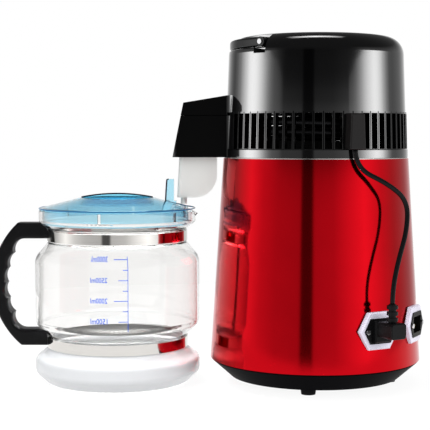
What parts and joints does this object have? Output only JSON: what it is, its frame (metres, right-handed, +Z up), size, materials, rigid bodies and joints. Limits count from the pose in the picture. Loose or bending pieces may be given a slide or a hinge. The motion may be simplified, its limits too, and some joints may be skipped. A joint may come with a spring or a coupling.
{
  "type": "countertop water distiller",
  "caption": "Countertop water distiller: red tapered boiler, black fan head with spout and folding handle, and a glass carafe with steel bands, black grip and blue lid.",
  "frame": {"origin": "on the counter, in the middle of the footprint of the machine and its carafe together", "axes": "+Z up; +X from the carafe to the machine; -Y to the front, where the picture was taken from"},
  "size_m": [0.4514, 0.2363, 0.3617],
  "materials": {
    "red_paint": "gloss",
    "black_plastic": "gloss",
    "dark_plastic": "satin",
    "socket_plastic": "satin",
    "rubber": "matte",
    "steel": "brushed",
    "screw_steel": "polished",
    "aluminium": "satin",
    "pale_plastic": "satin",
    "brass": "polished",
    "button_plastic": "gloss",
    "silicone": "matte",
    "milky_plastic": "satin",
    "cord_rubber": "matte",
    "fan_plastic": "satin",
    "clear_glass": "clear",
    "grip_plastic": "satin",
    "blue_plastic": "clear"
  },
  "bodies": {
    "base": {"base_tray": "black_plastic", "feet": "rubber", "outer_shell": "red_paint", "boiling_pot": "steel", "heater_plate": "aluminium", "heating_ring": "steel", "thermostat": "dark_plastic", "outlet_bracket": "pale_plastic", "fan_outlet": "socket_plastic", "inlet_bracket": "pale_plastic", "mains_inlet": "socket_plastic", "inlet_pins": "brass", "socket_screws": "screw_steel", "button_bezel": "socket_plastic", "start_switch": "dark_plastic"},
    "start_key": {"start_button": "button_plastic"},
    "head": {"head_dome": "black_plastic", "vent_ring": "black_plastic", "pot_lid": "steel", "lid_gasket": "silicone", "lid_screws": "screw_steel", "steam_tube": "steel", "condenser_coil": "steel", "condensate_tube": "steel", "motor_bracket": "aluminium", "fan_motor": "dark_plastic", "handle_pins": "screw_steel", "lead_cover": "dark_plastic", "filter_cup": "milky_plastic", "drip_tube": "milky_plastic", "fan_cord": "cord_rubber"},
    "fan": {"fan_rotor": "fan_plastic", "motor_shaft": "screw_steel"},
    "handle": {"carry_handle": "black_plastic"},
    "plug": {"fan_plug": "cord_rubber", "plug_boot": "cord_rubber", "plug_blades": "brass"},
    "carafe": {"carafe_glass": "clear_glass", "upper_band": "steel", "lower_band": "steel", "carafe_handle": "grip_plastic"},
    "lid": {"carafe_lid": "blue_plastic"}
  },
  "joints": [
    {"name": "head_lift", "type": "slide", "parent": "base", "child": "head", "axis": [0, 0, 1], "range_m": [0, 0.2]},
    {"name": "plug_pull", "type": "slide", "parent": "head", "child": "plug", "axis": [0.5075, -0.8616, 0], "range_m": [0, 0.03]},
    {"name": "fan_spin", "type": "hinge", "parent": "head", "child": "fan", "pos_m": [0.11515, 0, 0.3202], "axis": [0, 0, 1], "continuous": true},
    {"name": "handle_fold", "type": "hinge", "parent": "head", "child": "handle", "pos_m": [0.11515, 0, 0.3521], "axis": [0.6794, 0.7337, 0], "range_deg": [0, 95]},
    {"name": "start_press", "type": "slide", "parent": "base", "child": "start_key", "axis": [-0.9272, -0.3746, 0], "range_m": [0, 0.0025], "stiffness_N_per_m": 400, "springref_m": -0.002},
    {"name": "carafe_slide", "type": "slide", "parent": "base", "child": "carafe", "axis": [-1, 0, 0], "range_m": [0, 0.2]},
    {"name": "lid_turn", "type": "hinge", "parent": "carafe", "child": "lid", "pos_m": [-0.09384, 0, 0.1804], "axis": [0, 0, 1], "continuous": true}
  ]
}
